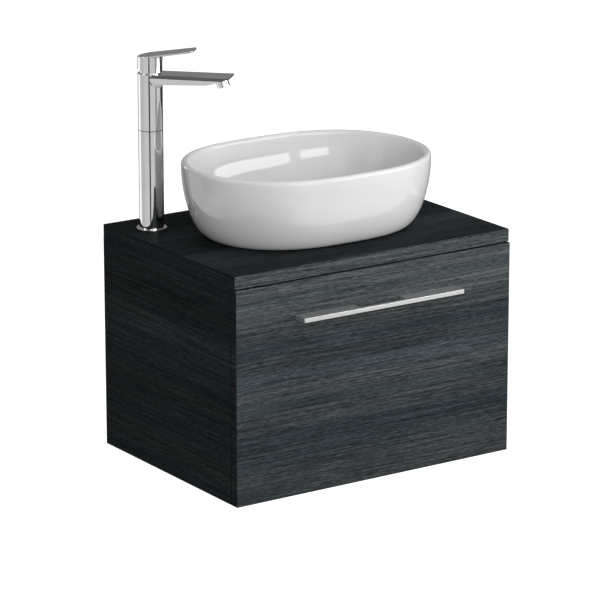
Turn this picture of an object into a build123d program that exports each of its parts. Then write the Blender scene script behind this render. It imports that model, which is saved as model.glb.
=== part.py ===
from build123d import *
import math
import os

# A wall-hung vanity with one deep drawer, an oval basin on its worktop and a tall mixer tap.
# X runs to the right, Y back to the wall, Z up. Heights count from the cabinet's underside,
# and the finished pieces are moved so that the origin is at the wall fixing, on the wall.

# Cabinet boards
cabinet_width = 600.0
cabinet_depth = 447.0
cabinet_height = 425.5
board = 18.0
worktop_thickness = 23.8
rail_board = 16.0
rail_height = 80.0
service_recess = 18.0
edge_round = 0.8

# Drawer front, which covers the cabinet's front edges
front_proud = 3.8
front_top_gap = 1.5
front_back_gap = 1.5

# Drawer box
box_board = 15.0
box_height = 190.0
box_lift = 40.0
box_back_gap = 12.0
base_board = 12.0
base_rise = 6.0
groove_depth = 6.0
surround_wall = 4.0
surround_room = 28.0
surround_corner = 45.0

# Handle bar with a finger notch behind it
handle_length = 349.0
handle_reach = 29.5
handle_height = 8.0
handle_drop = 63.0
notch_length = 95.0
notch_slant = 4.0
handle_bar = 7.5
handle_screw_spacing = 224.0

# Three-part drawer runners
runner_length = 350.0
runner_space = 12.7
runner_height = 45.0
runner_reach = 10.5
runner_lip = 5.0
runner_sheet = 1.2
runner_gap = 0.4
runner_set_back = 2.0
runner_lift = 112.0
middle_web_gap = 2.2
hat_height = 29.0
runner_screw_inset = 45.0

# Screws and dowels
screw_head_radius = 3.5
screw_head_height = 1.8
screw_radius = 2.0
screw_depth = 12.0
dowel_radius = 4.0
dowel_length = 30.0
dowel_in_face = 12.0
dowel_inset = 100.0
lower_rail_shares = (0.25, 0.75)
upper_rail_shares = (0.12, 0.36)
drawer_dowel_shares = (0.25, 0.8)
slip = 0.1

# Wall plates, cabinet hangers and their hooks
plate_width = 40.0
plate_height = 68.0
plate_sheet = 2.5
plate_step = 6.5
plate_step_angle = 45.0
plate_lip = 17.0
plate_hole_radius = 3.25
plate_hole_spacing = 25.0
plate_hole_rise = 12.0
plate_drop = 16.2
hanger_width = 18.0
hanger_depth = 36.0
hanger_height = 36.0
hanger_top_gap = 0.5
hanger_peg_radius = 5.0
hanger_peg_length = 11.0
hook_sheet = 3.0
hook_height = 14.0
hook_finger = 2.8
hook_drop = 8.0
hook_tail = 26.0
hook_gap = 0.4
hanger_peg_shares = (0.25, 0.75)

# Rubber buffers between the cabinet and the drawer front
buffer_radius = 4.0
buffer_gap = 0.3
buffer_shares = (0.1, 0.9)

# Basin: an oval with flat long sides, on a narrower foot
basin_x = -4.5
basin_y = -233.7
basin_half_length = 239.0
basin_half_width = 180.0
basin_height = 138.1
basin_length_power = 2.83
basin_width_power = 1.98
basin_foot_inset = 48.1
basin_wall_power = 1.9
basin_wall = 11.0
basin_floor = 18.0
basin_bowl_inset = 78.0
basin_bowl_rise = 7.0
drain_seat_radius = 37.0
foot_ring = 24.0
foot_recess = 5.0
drain_boss_radius = 46.0
drain_room = 2.0
rim_flat = 1.0
oval_points = 32
oval_halvings = 60
wall_sections = 6

# Push-to-open waste
waste_radius = 20.9
waste_wall = 3.4
waste_length = 94.0
waste_flange_radius = 32.0
waste_flange = 3.5
waste_seal = 1.5
waste_nut_radius = 31.0
waste_nut_height = 12.0
worktop_waste_radius = 24.0
plug_radius = 31.0
plug_height = 4.5
plug_crown = 2.0
plug_seal = 1.2
plug_stem_radius = 4.0
plug_stem_length = 34.0
plug_travel = 8.0
guide_bar = 6.0
guide_height = 16.0
guide_radius = 8.0

# Bottle trap
pipe_radius = 16.0
pipe_wall = 1.6
pipe_slip = 0.3
trap_nut_radius = 26.0
trap_nut_height = 23.0
trap_nut_lip = 4.0
tail_flange = 3.0
tail_flange_radius = 20.5
bottle_radius = 37.0
bottle_wall = 3.0
bottle_height = 48.0
bottle_drop = 40.0
cup_height = 57.0
cup_spigot = 10.0
neck_radius = 22.0
neck_height = 18.0
top_nut_height = 18.0
dip_depth = 70.0
outlet_drop = 23.0
outlet_boss_radius = 21.0
outlet_boss_length = 24.0
outlet_nut_length = 18.0
outlet_spigot = 40.0
spigot_mark = 1.0
spigot_mark_depth = 0.4
trap_ribs = 12

# Tall mixer tap, with its spout turned towards the basin
tap_from_side = 55.2
tap_y = -81.6
tap_turn = -45.0
tap_radius = 23.0
tap_height = 293.5
flange_radius = 28.0
flange_height = 4.5
flange_bore_radius = 16.5
seam_height = 188.0
seam_groove = 0.5
column_wall = 4.0
column_web = 9.0
spigot_length = 8.0
inlet_radius = 4.6
inlet_depth = 14.0
inlet_x = 5.0
inlet_y = 7.0
waterway_radius = 3.5
deck_hole_radius = 17.5

# Spout and aerator
spout_reach = 152.0
spout_width = 45.0
spout_bow = 1.2
spout_root = 19.0
spout_knee = 112.0
spout_knee_height = 15.6
spout_tip = 2.8
spout_knee_round = 60.0
spout_root_round = 7.0
spout_edge_round = 1.2
spout_bore_radius = 4.5
aerator_radius = 12.0
aerator_reach = 133.0
aerator_stand = 12.5
aerator_depth = 3.0
aerator_wall = 2.0
aerator_ribs = 5

# Cartridge in the top of the tap
cartridge_radius = 17.5
cartridge_height = 28.0
cartridge_room = 0.6
cartridge_neck_radius = 11.6
cartridge_nut_height = 9.5
cartridge_nut_bore = 12.0
rotor_radius = 9.4
rotor_gap = 0.3
rotor_below = 15.0
rotor_above = 5.0
pivot_rise = 2.5
spindle_width = 8.0
spindle_below = 9.0
spindle_above = 27.0
pivot_pin_radius = 2.0
dome_radius = 19.0
dome_wall = 2.2
dome_mouth_radius = 11.0

# Lever
lever_radius = 22.8
lever_gap = 2.8
lever_heel_rise = 5.0
lever_wall = 3.0
lever_ceiling = 22.3
lever_axis_height = 33.9
lever_slope = 8.6
lever_reach = 84.0
lever_thickness = 4.0
lever_tip_width = 37.0
lever_tip_round = 6.0
lever_edge_round = 1.0
lever_under_round = 2.5
index_height = 25.8
index_radius = 3.4
index_depth = 1.6
index_proud = 0.8
grub_radius = 2.5
grub_length = 8.0

# Tap fixing under the worktop
stud_x = -11.5
stud_radius = 4.0
stud_length = 66.0
stud_in_web = 8.0
clamp_radius = 26.0
clamp_slot = 27.0
clamp_slot_start = -3.0
clamp_rubber = 3.0
clamp_plate = 2.5
stud_nut_across = 13.0
stud_nut_height = 6.5

# Places that follow from the sizes above
half_width = cabinet_width / 2
inner_half = half_width - board
worktop_under = cabinet_height - worktop_thickness
front_face_y = -(cabinet_depth + front_proud)
tap_x = tap_from_side - half_width
front_back_y = front_face_y + board
carcass_front_y = front_back_y + front_back_gap
rail_back_y = -service_recess
rail_front_y = rail_back_y - rail_board
front_height = worktop_under - front_top_gap
box_half = inner_half - runner_space
box_inner = box_half - box_board
box_back_y = rail_front_y - box_back_gap
base_bottom = box_lift + base_rise
base_top = base_bottom + base_board
box_top = box_lift + box_height
plate_x = inner_half - plate_width / 2 - slip
plate_bottom = worktop_under - plate_drop - plate_height
hole_z = (plate_bottom + plate_hole_rise, plate_bottom + plate_hole_rise + plate_hole_spacing)
origin_z = sum(hole_z) / 2


def block(x0, x1, y0, y1, z0, z1):
    """A box between two corners."""
    size = Box(x1 - x0, y1 - y0, z1 - z0, align=(Align.MIN, Align.MIN, Align.MIN))
    return Pos(x0, y0, z0) * size


def rod(radius, z0, z1):
    """An upright cylinder between two heights."""
    return Pos(0, 0, z0) * Cylinder(radius, z1 - z0, align=(Align.CENTER, Align.CENTER, Align.MIN))


def tube(outer, inner, z0, z1):
    """An upright ring between two heights."""
    return rod(outer, z0, z1) - rod(inner, z0, z1)


def rod_x(radius, x0, x1, y, z):
    """A cylinder along X."""
    return Pos(x0, y, z) * Rot(0, 90, 0) * rod(radius, 0, x1 - x0)


def rod_y(radius, y0, y1, x, z):
    """A cylinder along Y."""
    return Pos(x, y0, z) * Rot(-90, 0, 0) * rod(radius, 0, y1 - y0)


def slab_x(points, x0, x1):
    """A profile given as (Y, Z) points, drawn out along X."""
    face = Plane.YZ * make_face(Polyline(*points, close=True))
    return Pos(x0, 0, 0) * extrude(face, x1 - x0)


def slab_y(points, y0, y1):
    """A profile given as (X, Z) points, drawn out along Y."""
    face = Plane.XZ * make_face(Polyline(*points, close=True))
    return Pos(0, y1, 0) * extrude(face, y1 - y0)


def side_slab(points, width):
    """A profile given as (X, Z) points, drawn out to a width about the middle."""
    return slab_y(points, -width / 2, width / 2)


def both_sides(shape):
    """The right-hand piece and its mirror image on the left."""
    return {"right": shape, "left": mirror(shape, Plane.YZ)}


# Dowels: where each joint has them, as the end of the board that they enter
bottom_dowels = [(-dowel_inset, board / 2), (carcass_front_y + dowel_inset, board / 2)]
rail_mid_y = (rail_back_y + rail_front_y) / 2
lower_rail_dowels = [(rail_mid_y, board + rail_height * share) for share in lower_rail_shares]
upper_rail_bottom = worktop_under - rail_height
upper_rail_dowels = [(rail_mid_y, upper_rail_bottom + rail_height * share) for share in upper_rail_shares]
side_dowels = bottom_dowels + lower_rail_dowels + upper_rail_dowels
worktop_dowels = [-dowel_inset, carcass_front_y + dowel_inset]
dowel_in_end = dowel_length - dowel_in_face


def carcass_dowel_shapes(radius, spare):
    """Dowels of the right-hand side panel, or their holes when spare is more than nothing."""
    across = [
        rod_x(radius, inner_half - dowel_in_end - spare, inner_half + dowel_in_face + spare, y, z)
        for y, z in side_dowels
    ]
    upright = [
        Pos(half_width - board / 2, y, 0)
        * rod(radius, worktop_under - dowel_in_end - spare, worktop_under + dowel_in_face + spare)
        for y in worktop_dowels
    ]
    return across + upright


def mirrored(shapes):
    """The shapes with their mirror images on the left."""
    return shapes + [mirror(shape, Plane.YZ) for shape in shapes]


# Runners: cabinet member, middle member and drawer member, one inside the other
runner_front_y = carcass_front_y + runner_set_back
runner_back_y = runner_front_y + runner_length
middle_half = runner_height / 2 - runner_sheet - runner_gap
middle_start = runner_sheet + middle_web_gap
middle_reach = runner_reach - runner_sheet - runner_gap
middle_lip = runner_lip + runner_gap
hat_start = middle_start + runner_sheet + runner_gap
hat_foot_half = middle_half - runner_sheet - runner_gap


def channel_points(near, far, half, lip):
    """A channel with turned-in lips, from its web at near to its lips at far."""
    t = runner_sheet
    upper = [
        (near + t, half - t),
        (far - t, half - t),
        (far - t, half - lip),
        (far, half - lip),
        (far, half),
        (near, half),
    ]
    lower = [(u, -v) for u, v in reversed(upper)]
    return upper + lower


def hat_points():
    """The drawer member: a web on the drawer's side, two legs and two feet."""
    t = runner_sheet
    leg = hat_height / 2
    upper = [
        (runner_space - t, leg - t),
        (hat_start, leg - t),
        (hat_start, hat_foot_half),
        (hat_start + t, hat_foot_half),
        (hat_start + t, leg),
        (runner_space, leg),
    ]
    lower = [(u, -v) for u, v in reversed(upper)]
    return upper + lower


def runner_profile(points):
    """A member of the right-hand runner, drawn out from its profile."""
    placed = [(inner_half - u, runner_lift + v) for u, v in points]
    return slab_y(placed, runner_front_y, runner_back_y)


runner_screw_y = [
    runner_front_y + runner_screw_inset,
    (runner_front_y + runner_back_y) / 2,
    runner_back_y - runner_screw_inset,
]


def screw_x(x, y, z, way):
    """A screw along X whose head's seat is at x and whose shank goes the given way."""
    low, high = sorted((x, x + way * screw_depth))
    shank = rod_x(screw_radius, low, high, y, z)
    low, high = sorted((x, x - way * screw_head_height))
    return shank + rod_x(screw_head_radius, low, high, y, z)


def screw_hole_x(x, y, z, way):
    """The hole for such a screw."""
    low, high = sorted((x - way * runner_sheet, x + way * (screw_depth + 2 * slip)))
    return rod_x(screw_radius + slip, low, high, y, z)


cabinet_seat = inner_half - runner_sheet
drawer_seat = inner_half - runner_space + runner_sheet
cabinet_screws = [screw_x(cabinet_seat, y, runner_lift, 1) for y in runner_screw_y]
cabinet_screw_holes = [screw_hole_x(cabinet_seat, y, runner_lift, 1) for y in runner_screw_y]
drawer_screws = [screw_x(drawer_seat, y, runner_lift, -1) for y in runner_screw_y]
drawer_screw_holes = [screw_hole_x(drawer_seat, y, runner_lift, -1) for y in runner_screw_y]


def make_runners():
    cabinet_member = runner_profile(channel_points(0, runner_reach, runner_height / 2, runner_lip))
    middle = runner_profile(channel_points(middle_start, middle_reach, middle_half, middle_lip))
    drawer_member = runner_profile(hat_points())
    pieces = {}
    for side, shape in both_sides(cabinet_member - cabinet_screw_holes).items():
        pieces[f"{side}_cabinet_runner"] = shape
    for side, shape in both_sides(middle).items():
        pieces[f"{side}_middle_runner"] = shape
    for side, shape in both_sides(drawer_member - drawer_screw_holes).items():
        pieces[f"{side}_drawer_runner"] = shape
    pieces["cabinet_runner_screws"] = Compound(mirrored(cabinet_screws))
    pieces["drawer_runner_screws"] = Compound(mirrored(drawer_screws))
    return pieces


# Wall plates with a stepped lip, and hangers whose hooks drop behind it
plate_top = plate_bottom + plate_height
hanger_top = worktop_under - hanger_top_gap
hanger_bottom = hanger_top - hanger_height
hanger_front_y = rail_back_y - hanger_depth
hook_x = inner_half - hanger_width / 2
peg_y = [rail_back_y - hanger_depth * share for share in hanger_peg_shares]
peg_z = (hanger_top + hanger_bottom) / 2


def make_wall_plate():
    bend = plate_sheet * math.tan(math.radians(plate_step_angle / 2))
    step_start = plate_top - plate_lip - plate_step
    points = [
        (0, plate_bottom),
        (0, step_start),
        (-plate_step, step_start + plate_step),
        (-plate_step, plate_top),
        (-plate_step - plate_sheet, plate_top),
        (-plate_step - plate_sheet, step_start + plate_step - bend),
        (-plate_sheet, step_start - bend),
        (-plate_sheet, plate_bottom),
    ]
    plate = slab_x(points, plate_x - plate_width / 2, plate_x + plate_width / 2)
    holes = [rod_y(plate_hole_radius, -plate_sheet, 0, plate_x, z) for z in hole_z]
    return plate - holes


def hook_points(spare):
    """The hook's outline, seen from the side."""
    finger_front = -plate_step + hook_gap
    finger_back = finger_front + hook_finger
    tail_y = rail_back_y - hook_tail
    return [
        (tail_y - spare, plate_top - spare),
        (tail_y - spare, plate_top + hook_height + spare),
        (finger_back, plate_top + hook_height + spare),
        (finger_back, plate_top - hook_drop),
        (finger_front, plate_top - hook_drop),
        (finger_front, plate_top - spare),
    ]


def make_hangers():
    half_sheet = hook_sheet / 2
    hook = slab_x(hook_points(0), hook_x - half_sheet, hook_x + half_sheet)
    slot = slab_x(hook_points(slip), hook_x - half_sheet - slip, hook_x + half_sheet + slip)
    hanger = block(
        inner_half - hanger_width, inner_half, hanger_front_y, rail_back_y, hanger_bottom, hanger_top
    )
    pegs = [
        rod_x(hanger_peg_radius, inner_half, inner_half + hanger_peg_length, y, peg_z) for y in peg_y
    ]
    hanger = hanger + pegs - slot
    return {
        "wall_plates": Compound(mirrored([make_wall_plate()])),
        "hanger_hooks": Compound(mirrored([hook])),
        "cabinet_hangers": Compound(mirrored([hanger])),
    }


# Basin waste and tap, where they stand on the worktop
def at_basin(shape):
    return Pos(basin_x, basin_y, 0) * shape


def at_tap(shape):
    return Pos(tap_x, tap_y, cabinet_height) * Rot(0, 0, tap_turn) * shape


def make_cabinet():
    top = block(-half_width, half_width, -cabinet_depth, 0, worktop_under, cabinet_height)
    top = fillet(top.edges(), edge_round)
    top -= at_basin(rod(worktop_waste_radius, worktop_under, cabinet_height))
    top -= at_tap(rod(deck_hole_radius, -worktop_thickness, 0))
    dowel_holes = carcass_dowel_shapes(dowel_radius + slip, slip)
    top -= mirrored(dowel_holes)

    side = block(inner_half, half_width, carcass_front_y, 0, 0, worktop_under)
    side = fillet(side.edges().filter_by(Axis.Y).group_by(Axis.X)[-1], edge_round)
    side -= dowel_holes
    side -= cabinet_screw_holes
    side -= [
        rod_x(hanger_peg_radius + slip, inner_half, inner_half + hanger_peg_length + slip, y, peg_z)
        for y in peg_y
    ]

    bottom = block(-inner_half, inner_half, carcass_front_y, rail_back_y, 0, board)
    rail = block(-inner_half, inner_half, rail_front_y, rail_back_y, 0, rail_height)
    lower_rail = Pos(0, 0, board) * rail
    upper_rail = Pos(0, 0, upper_rail_bottom) * rail
    notch_x = inner_half - hanger_width - slip
    notch_z = hanger_bottom - slip
    notch = block(notch_x, half_width, rail_front_y, rail_back_y, notch_z, worktop_under)
    upper_rail -= mirrored([notch])

    buffer = rod_y(
        buffer_radius, front_back_y + buffer_gap, carcass_front_y, half_width - board / 2, 0
    )
    buffer_heights = [front_height * share for share in buffer_shares]
    pieces = {
        "worktop": top,
        "bottom_panel": bottom - mirrored(dowel_holes),
        "lower_back_rail": lower_rail - mirrored(dowel_holes),
        "upper_back_rail": upper_rail - mirrored(dowel_holes),
        "carcass_dowels": Compound(mirrored(carcass_dowel_shapes(dowel_radius, 0))),
        "front_buffers": Compound(mirrored([Pos(0, 0, z) * buffer for z in buffer_heights])),
    }
    for name, shape in both_sides(side).items():
        pieces[f"{name}_side_panel"] = shape
    return pieces


# Drawer: its base and back leave room for the trap, behind a bent surround
surround_half = bottle_radius + surround_room
surround_front_y = basin_y - surround_half
drawer_dowel_z = [box_lift + box_height * share for share in drawer_dowel_shares]
drawer_dowel_x = box_half - box_board / 2
back_dowel_z = (base_top + box_top) / 2
handle_top = front_height - handle_drop
handle_z = handle_top - handle_height / 2


def surround_plan(half, front_y, back_y, corner):
    """The plan of the room for the trap, open at the back."""
    width = 2 * half
    depth = back_y - front_y
    plan = Pos(basin_x, (front_y + back_y) / 2) * Rectangle(width, depth)
    return fillet(plan.vertices().group_by(Axis.Y)[0], corner)


def make_surround():
    outer = surround_plan(surround_half, surround_front_y, box_back_y, surround_corner)
    inner = surround_plan(
        surround_half - surround_wall,
        surround_front_y + surround_wall,
        box_back_y,
        surround_corner - surround_wall,
    )
    return Pos(0, 0, base_bottom) * extrude(outer - inner, box_top - base_bottom)


def make_drawer():
    front = block(-half_width, half_width, front_face_y, front_back_y, 0, front_height)
    front = fillet(front.edges(), edge_round)
    hole_start = front_back_y - dowel_in_face - slip
    hole_end = front_back_y + dowel_in_end + slip
    across_front = [
        rod_y(dowel_radius + slip, hole_start, hole_end, drawer_dowel_x, z) for z in drawer_dowel_z
    ]
    screw_holes = [
        rod_y(screw_radius + slip, front_face_y, front_back_y, x, handle_z)
        for x in (-handle_screw_spacing / 2, handle_screw_spacing / 2)
    ]
    front = front - mirrored(across_front) - screw_holes

    side = block(box_inner, box_half, front_back_y, box_back_y, box_lift, box_top)
    groove = block(
        box_inner, box_inner + groove_depth, front_back_y, box_back_y, base_bottom - slip, base_top + slip
    )
    back_mid_y = box_back_y - box_board / 2
    back_dowel_hole = rod_x(
        dowel_radius + slip,
        box_inner - dowel_in_end - slip,
        box_inner + dowel_in_face - groove_depth / 2 + slip,
        back_mid_y,
        back_dowel_z,
    )
    side = side - groove - across_front - drawer_screw_holes - back_dowel_hole

    reach = box_inner + groove_depth - slip
    base = block(-reach, reach, front_back_y, box_back_y, base_bottom, base_top)
    room = surround_plan(surround_half + slip, surround_front_y - slip, box_back_y, surround_corner)
    base -= Pos(0, 0, base_bottom) * extrude(room, base_board)

    back = block(
        -box_inner, box_inner, box_back_y - box_board, box_back_y, base_top, box_top
    )
    back -= Pos(0, 0, base_top) * extrude(room, box_height)
    back -= mirrored([back_dowel_hole])
    halves = back.solids().sort_by(Axis.X)

    dowels = [
        rod_y(dowel_radius, front_back_y - dowel_in_face, front_back_y + dowel_in_end, drawer_dowel_x, z)
        for z in drawer_dowel_z
    ]
    dowels.append(
        rod_x(
            dowel_radius,
            box_inner - dowel_in_end,
            box_inner + dowel_in_face - groove_depth / 2,
            back_mid_y,
            back_dowel_z,
        )
    )
    pieces = {
        "drawer_front": front,
        "drawer_base": base,
        "drawer_left_back": halves[0],
        "drawer_right_back": halves[-1],
        "trap_surround": make_surround(),
        "drawer_dowels": Compound(mirrored(dowels)),
    }
    for name, shape in both_sides(side).items():
        pieces[f"drawer_{name}_side"] = shape
    return pieces


def make_handle():
    half = handle_length / 2
    notch = notch_length / 2
    inner_y = handle_bar - handle_reach
    plan = [
        (-half, 0),
        (-half, -handle_reach),
        (half, -handle_reach),
        (half, 0),
        (notch + notch_slant, 0),
        (notch, inner_y),
        (-notch, inner_y),
        (-notch - notch_slant, 0),
    ]
    bar = extrude(make_face(Polyline(*plan, close=True)), handle_height)
    bar = fillet(bar.edges().group_by(Axis.Y)[0].filter_by(Axis.X), edge_round)
    bar = Pos(0, front_face_y, handle_z - handle_height / 2) * bar
    screws = []
    for x in (-handle_screw_spacing / 2, handle_screw_spacing / 2):
        shank = rod_y(screw_radius, front_face_y - screw_depth, front_back_y, x, handle_z)
        head = rod_y(screw_head_radius, front_back_y, front_back_y + screw_head_height, x, handle_z)
        screws.append(shank + head)
        bar -= rod_y(screw_radius + slip, front_face_y - screw_depth - slip, front_face_y, x, handle_z)
    return {"handle": bar, "handle_screws": Compound(screws)}


# Basin: an outer skin, less the bowl inside it
def oval_radius(half_length, half_width_, angle):
    """The distance from the middle to the oval's edge in one direction."""
    along = abs(math.cos(angle)) / half_length
    across = abs(math.sin(angle)) / half_width_
    low, high = 0.0, half_length + half_width_
    for halving in range(oval_halvings):
        middle = (low + high) / 2
        inside = (along * middle) ** basin_length_power + (across * middle) ** basin_width_power < 1
        low, high = (middle, high) if inside else (low, middle)
    return low


def oval(inset, z):
    """The basin's plan, drawn in by the inset, at one height."""
    points = []
    for i in range(oval_points):
        angle = 2 * math.pi * i / oval_points
        r = oval_radius(basin_half_length - inset, basin_half_width - inset, angle)
        points.append((r * math.cos(angle), r * math.sin(angle), z))
    return Wire([Spline(*points, periodic=True)])


def wall_curve(angle, inset, rise):
    """A point of a basin wall, as (inset, height): level at the foot, upright at the rim."""
    bend = 2 / basin_wall_power
    return inset * (1 - math.sin(angle) ** bend), rise * (1 - math.cos(angle) ** bend)


def make_basin():
    rim = basin_wall / 2
    wall_top = basin_height - rim
    floor = basin_floor + basin_bowl_rise
    outside = []
    inside = []
    for step in range(wall_sections + 1):
        angle = math.pi / 2 * step / wall_sections
        drawn_in, rise = wall_curve(angle, basin_foot_inset, wall_top)
        outside.append(oval(drawn_in, rise))
        drawn_in, rise = wall_curve(angle, basin_bowl_inset - basin_wall, wall_top - floor)
        inside.append(oval(basin_wall + drawn_in, floor + rise))
    for angle in (math.pi / 4, math.pi / 2):
        rise = wall_top + rim * math.sin(angle)
        drawn_in = (rim - rim_flat / 2) * (1 - math.cos(angle))
        outside.append(oval(drawn_in, rise))
        inside.append(oval(basin_wall - drawn_in, rise))
    seat = Wire([Pos(0, 0, basin_floor) * Edge.make_circle(drain_seat_radius)])
    shell = Part(Solid.make_loft(outside).wrapped)
    bowl = Part(Solid.make_loft(inside).wrapped)
    dish = Part(Solid.make_loft([seat, inside[0]], ruled=True).wrapped)
    hole = rod(waste_radius + drain_room, 0, floor)
    ring = Face(oval(basin_foot_inset + foot_ring, 0))
    recess = Part(extrude(ring, foot_recess).wrapped) - rod(drain_boss_radius, 0, foot_recess)
    reach = basin_half_length
    under = block(-reach, reach, -reach, reach, -basin_floor, 0)
    shell = shell - under - bowl - dish - hole - recess
    return {"basin": at_basin(Pos(0, 0, cabinet_height) * shell)}


# Waste: a threaded tail clamped through the basin and the worktop, with a push-to-open plug
floor_z = cabinet_height + basin_floor
flange_z = floor_z + waste_seal
flange_top = flange_z + waste_flange
tail_z = flange_top - waste_length
waste_bore = waste_radius - waste_wall
nut_top = worktop_under
plug_z = flange_top + plug_seal
guide_top = flange_top - plug_travel


def make_waste():
    flange = rod(waste_flange_radius, flange_z, flange_top)
    flange = chamfer(flange.edges().group_by(Axis.Z)[-1], waste_flange / 3)
    body = flange + rod(waste_radius, tail_z, flange_z) - rod(waste_bore, tail_z, flange_top)
    seal = tube(waste_flange_radius - waste_seal, waste_radius + slip, floor_z, flange_z)
    nut = tube(waste_nut_radius, waste_radius + slip, nut_top - waste_nut_height, nut_top)
    grip = Pos(waste_nut_radius, 0, nut_top - waste_nut_height) * rod(
        waste_nut_height / 4, 0, waste_nut_height
    )
    nut -= [Rot(0, 0, 360 * i / trap_ribs) * grip for i in range(trap_ribs)]

    guide_z = guide_top - guide_height
    guide = tube(guide_radius, plug_stem_radius + rotor_gap, guide_z, guide_top)
    bar = block(-waste_bore, waste_bore, -guide_bar / 2, guide_bar / 2, guide_z, guide_z + guide_bar)
    bar = bar & rod(waste_bore - slip, guide_z, guide_top)
    guide += bar - rod(guide_radius - slip, guide_z, guide_top)

    crown = plug_z + plug_height
    crown_radius = (plug_radius**2 + plug_crown**2) / (2 * plug_crown)
    cap = rod(plug_radius, plug_z, crown) & Pos(0, 0, crown - crown_radius) * Sphere(crown_radius)
    plug = cap + rod(plug_stem_radius, plug_z - plug_stem_length, plug_z)
    plug_ring = tube(waste_bore + 2 * waste_wall, plug_stem_radius + slip, flange_top + slip, plug_z)
    shapes = {
        "waste_body": body,
        "waste_flange_seal": seal,
        "waste_nut": nut,
        "plug_guide": guide,
        "waste_plug": plug,
        "waste_plug_seal": plug_ring,
    }
    return {name: at_basin(shape) for name, shape in shapes.items()}


# Bottle trap: it hangs on the tail and leads to the wall
inlet_nut_bottom = tail_z - tail_flange - trap_nut_lip - pipe_slip
inlet_nut_top = inlet_nut_bottom + trap_nut_height
neck_top = inlet_nut_bottom - bottle_drop + neck_height
bottle_top = neck_top - neck_height
bottle_bottom = bottle_top - bottle_height
outlet_z = bottle_top - outlet_drop
boss_end = bottle_radius + outlet_boss_length


def nut_grips(radius, z0, z1):
    """Flutes round a hand-tightened nut."""
    flute = Pos(radius, 0, 0) * rod(radius / trap_ribs, z0, z1)
    return [Rot(0, 0, 360 * i / trap_ribs) * flute for i in range(trap_ribs)]


def make_trap():
    pipe_bore = pipe_radius - pipe_wall
    through = pipe_radius + pipe_slip
    lip_top = inlet_nut_bottom + trap_nut_lip
    inlet_nut = rod(trap_nut_radius, inlet_nut_bottom, inlet_nut_top)
    inlet_nut -= rod(waste_radius + pipe_slip, lip_top, inlet_nut_top)
    inlet_nut -= rod(through, inlet_nut_bottom, lip_top)
    inlet_nut -= nut_grips(trap_nut_radius, inlet_nut_bottom, inlet_nut_top)

    dip = rod(pipe_radius, bottle_top - dip_depth, tail_z)
    dip += rod(tail_flange_radius, tail_z - tail_flange, tail_z)
    dip -= rod(pipe_bore, bottle_top - dip_depth, tail_z)

    bore = bottle_radius - bottle_wall
    roof = bottle_top - bottle_wall
    bottle = rod(bottle_radius, bottle_bottom, bottle_top)
    bottle = fillet(bottle.edges().group_by(Axis.Z)[-1], bottle_wall)
    bottle += rod(neck_radius, bottle_top, neck_top)
    bottle += rod_y(outlet_boss_radius, 0, boss_end, 0, outlet_z)
    bottle -= rod(bore, bottle_bottom, roof)
    bottle -= rod(through, roof, neck_top)
    bottle -= rod_y(through, 0, boss_end, 0, outlet_z)

    top_nut_z = neck_top + trap_nut_lip
    top_nut = rod(trap_nut_radius, top_nut_z - top_nut_height, top_nut_z)
    top_nut -= rod(neck_radius + slip, top_nut_z - top_nut_height, neck_top)
    top_nut -= rod(through, neck_top, top_nut_z)
    top_nut -= nut_grips(trap_nut_radius, top_nut_z - top_nut_height, top_nut_z)

    cup_bottom = bottle_bottom - cup_height
    cup = rod(bottle_radius, cup_bottom, bottle_bottom)
    cup = fillet(cup.edges().group_by(Axis.Z)[0], bottle_radius / 3)
    cup += rod(bore - slip, bottle_bottom, bottle_bottom + cup_spigot)
    cup_bore = bore - bottle_wall
    well = rod(cup_bore, cup_bottom + 2 * bottle_wall, bottle_bottom + cup_spigot)
    cup -= fillet(well.edges().group_by(Axis.Z)[0], bottle_radius / 4)
    cup -= nut_grips(bottle_radius, bottle_bottom - cup_height / 3, bottle_bottom - bottle_wall)

    nut_end = boss_end + trap_nut_lip
    nut_start = nut_end - outlet_nut_length
    outlet_nut = rod(trap_nut_radius, nut_start, nut_end)
    outlet_nut -= rod(outlet_boss_radius + slip, nut_start, boss_end)
    outlet_nut -= rod(through, boss_end, nut_end)
    outlet_nut -= nut_grips(trap_nut_radius, nut_start, nut_end)
    outlet_nut = Pos(0, 0, outlet_z) * Rot(-90, 0, 0) * outlet_nut

    outlet_start = bottle_radius
    outlet = rod_y(pipe_radius, outlet_start, -basin_y, 0, outlet_z)
    outlet -= rod_y(pipe_bore, outlet_start, -basin_y, 0, outlet_z)
    mark_end = -basin_y - outlet_spigot
    mark = rod_y(pipe_radius, mark_end - spigot_mark, mark_end, 0, outlet_z)
    mark -= rod_y(pipe_radius - spigot_mark_depth, mark_end - spigot_mark, mark_end, 0, outlet_z)
    outlet -= mark
    shapes = {
        "trap_inlet_nut": inlet_nut,
        "trap_dip_tube": dip,
        "trap_top_nut": top_nut,
        "trap_body": bottle,
        "trap_cup": cup,
        "trap_outlet_nut": outlet_nut,
        "trap_outlet_pipe": outlet,
    }
    return {name: at_basin(shape) for name, shape in shapes.items()}


# Tap: heights count from the worktop, with the spout along X until it is turned
cavity_floor = tap_height - cartridge_nut_height - cartridge_height
pivot_z = tap_height + pivot_rise
column_base = flange_height


def bowed_section():
    """The spout seen from its end: a level top and bottom between sides that bow out."""
    half = spout_width / 2
    edge = half - spout_bow
    low = tap_height - spout_root
    middle = (low + tap_height) / 2
    right = ThreePointArc((edge, low), (half, middle), (edge, tap_height))
    left = ThreePointArc((-edge, tap_height), (-half, middle), (-edge, low))
    return make_face([right, Line(right @ 1, left @ 0), left, Line(left @ 1, right @ 0)])


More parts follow.
